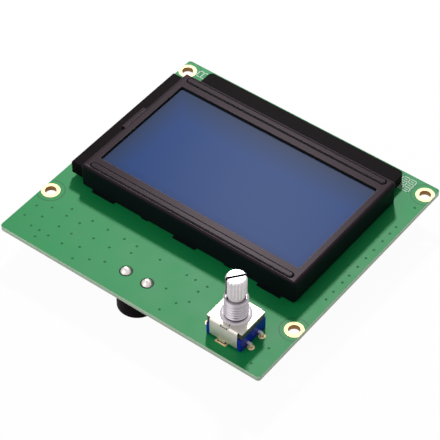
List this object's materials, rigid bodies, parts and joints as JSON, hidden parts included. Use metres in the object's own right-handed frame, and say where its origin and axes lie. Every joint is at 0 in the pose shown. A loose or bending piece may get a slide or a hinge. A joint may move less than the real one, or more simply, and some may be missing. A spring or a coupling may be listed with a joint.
{
  "type": "display board",
  "caption": "Graphic display board: windowed steel bezel on a green circuit board, rotary push control with a knurled split shaft, buzzer and ribbon headers behind.",
  "frame": {"origin": "centre of the four mounting holes, on the circuit board's front face", "axes": "+X along the long side of the screen, +Y up the screen, away from the rotary control, +Z out of the screen, along the control's shaft"},
  "size_m": [0.093, 0.0889, 0.0331],
  "materials": {
    "solder_mask": "green solder mask over glass laminate, satin",
    "gold_plate": "thin gold plate over copper",
    "black_steel": "black coated pressed steel, low gloss",
    "foam": "closed cell foam",
    "blue_film": "tinted polariser film",
    "glass": "clear cut glass",
    "white_film": "milky diffuser film",
    "clear_acrylic": "clear moulded acrylic",
    "black_plastic": "black moulded plastic, fine grain",
    "white_laminate": "white laminate",
    "lamp_resin": "cast resin",
    "tinned_wire": "tinned copper",
    "contact_rubber": "layered conductive rubber",
    "blue_plastic": "blue moulded plastic",
    "grey_plastic": "dark grey-green moulded plastic",
    "bright_steel": "bright nickel plated sheet steel",
    "cast_zinc": "die cast zinc, fine turned marks",
    "turned_aluminium": "turned and knurled aluminium",
    "white_plastic": "white moulded plastic",
    "spring_steel": "rolled spring steel",
    "solder": "reflowed tin solder, satin",
    "ferrite": "sintered ferrite",
    "copper_wire": "enamelled copper winding",
    "black_resin": "black potting resin, glossy",
    "black_ceramic": "resistor body",
    "tan_ceramic": "fired ceramic"
  },
  "bodies": {
    "board": {"circuit_board": "solder_mask", "plated_holes": "gold_plate", "pin_lands": "gold_plate", "bezel": "black_steel", "window_gasket": "foam", "front_polariser": "blue_film", "front_glass": "glass", "rear_glass": "glass", "rear_polariser": "blue_film", "diffuser_sheet": "white_film", "light_guide": "clear_acrylic", "display_frame": "black_plastic", "led_board": "white_laminate", "led_chips": "lamp_resin", "backlight_leads": "tinned_wire", "contact_strip_near": "contact_rubber", "contact_strip_far": "contact_rubber", "control_base": "blue_plastic", "control_housing": "grey_plastic", "control_cover": "bright_steel", "control_bushing": "cast_zinc", "detent_spring": "spring_steel", "signal_terminals": "tinned_wire", "switch_terminals": "tinned_wire", "switch_dome": "spring_steel", "control_solder": "solder", "buzzer_case": "black_plastic", "buzzer_base": "black_plastic", "buzzer_magnet": "ferrite", "buzzer_core": "spring_steel", "buzzer_coil": "copper_wire", "buzzer_diaphragm": "spring_steel", "buzzer_pins": "tinned_wire", "buzzer_solder": "solder", "header_left_shroud": "black_plastic", "header_left_pins": "gold_plate", "header_right_shroud": "black_plastic", "header_right_pins": "gold_plate", "trimmer_body": "white_plastic", "driver_left": "black_resin", "driver_centre": "black_resin", "driver_right": "black_resin", "regulator": "black_plastic", "chip_resistor_1": "black_ceramic", "chip_capacitor_1": "tan_ceramic", "chip_resistor_2": "black_ceramic", "chip_capacitor_2": "tan_ceramic", "chip_resistor_3": "black_ceramic", "chip_capacitor_3": "tan_ceramic", "chip_resistor_4": "black_ceramic", "chip_capacitor_4": "tan_ceramic", "chip_resistor_5": "black_ceramic", "chip_capacitor_5": "tan_ceramic"},
    "rotor": {"control_rotor": "white_plastic"},
    "shaft": {"control_shaft": "turned_aluminium"},
    "plunger": {"switch_plunger": "white_plastic"},
    "trimmer": {"trimmer_rotor": "bright_steel"}
  },
  "joints": [
    {"name": "control_turn", "type": "hinge", "parent": "board", "child": "rotor", "pos_m": [0.0313, -0.04225, 0], "axis": [0, 0, 1], "continuous": true},
    {"name": "control_push", "type": "slide", "parent": "rotor", "child": "shaft", "axis": [0, 0, -1], "range_m": [0, 0.0005], "stiffness_N_per_m": 3000, "springref_m": -0.0005},
    {"name": "plunger_slide", "type": "slide", "parent": "board", "child": "plunger", "axis": [0, 0, -1], "range_m": [0, 0.0005], "deforming": ["switch_dome"]},
    {"name": "trimmer_turn", "type": "hinge", "parent": "board", "child": "trimmer", "pos_m": [0.036, -0.014, -0.0027], "axis": [0, 0, 1], "range_deg": [-105, 105]}
  ],
  "couplings": [
    {"joint": "plunger_slide", "follows": "control_push", "ratio": 1}
  ]
}
